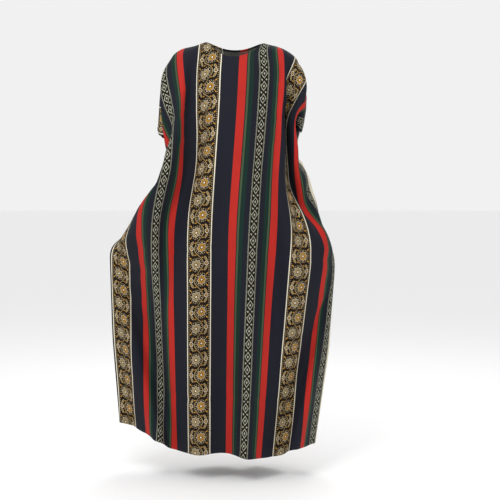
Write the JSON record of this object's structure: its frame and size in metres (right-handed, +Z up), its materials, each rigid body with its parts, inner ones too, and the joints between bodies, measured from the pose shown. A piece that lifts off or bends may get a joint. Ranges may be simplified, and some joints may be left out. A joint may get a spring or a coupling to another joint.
{
  "type": "dera dress",
  "caption": "Long, loose, wide dress of two straight cloth panels with a round neck and short open sleeves cut in one, worn and spread at both sides.",
  "frame": {"origin": "middle of the shoulder line, where the wearer's shoulders carry the dress", "axes": "+Z up, front faces -Y, +X towards the wearer's left hand"},
  "size_m": [0.765, 0.3362, 1.3863],
  "materials": {
    "front_panel": "light printed cloth with a soft sheen",
    "back_panel": "light printed cloth with a soft sheen"
  },
  "bodies": {
    "root": {"front_panel": "front_panel", "back_panel": "back_panel"}
  },
  "joints": []
}
